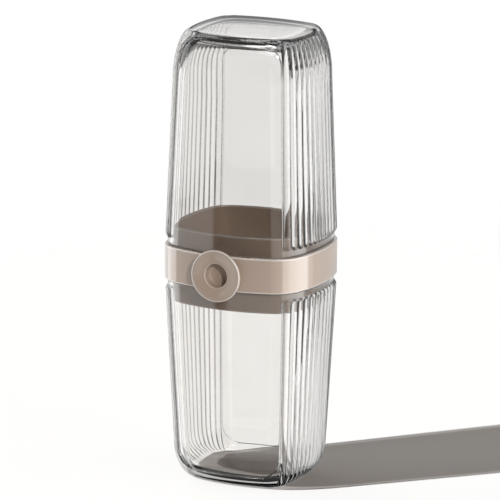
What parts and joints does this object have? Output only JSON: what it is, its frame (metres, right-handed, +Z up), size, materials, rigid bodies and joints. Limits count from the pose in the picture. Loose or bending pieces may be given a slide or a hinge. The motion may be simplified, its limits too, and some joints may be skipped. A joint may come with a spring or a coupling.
{
  "type": "toothbrush travel case",
  "caption": "Upright travel case for a toothbrush and a tube: clear ribbed lid and clear ribbed cup joined by a beige ring with a round press button.",
  "frame": {"origin": "middle of the flat base face that the case stands on", "axes": "+Z up along the case, -Y towards the button, +X to the right seen from the button side"},
  "size_m": [0.073, 0.0719, 0.21],
  "materials": {
    "clear_plastic": "clear, polished",
    "beige_plastic": "glossy",
    "white_plastic": "satin",
    "steel": "bright"
  },
  "bodies": {
    "case": {"base_cup": "clear_plastic", "outer_band": "beige_plastic", "collar_ring": "beige_plastic", "housing_cover": "white_plastic", "cover_screw_left": "steel", "cover_screw_right": "steel", "button_spring": "steel"},
    "lid": {"lid_cup": "clear_plastic"},
    "button": {"button_cap": "beige_plastic", "latch_slider": "white_plastic", "slider_screw": "steel"}
  },
  "joints": [
    {"name": "lid_lift", "type": "slide", "parent": "case", "child": "lid", "axis": [0, 0, 1], "range_m": [0, 0.1]},
    {"name": "button_press", "type": "slide", "parent": "case", "child": "button", "axis": [0, 1, 0], "range_m": [0, 0.0016], "stiffness_N_per_m": 800, "deforming": ["button_spring"]}
  ]
}
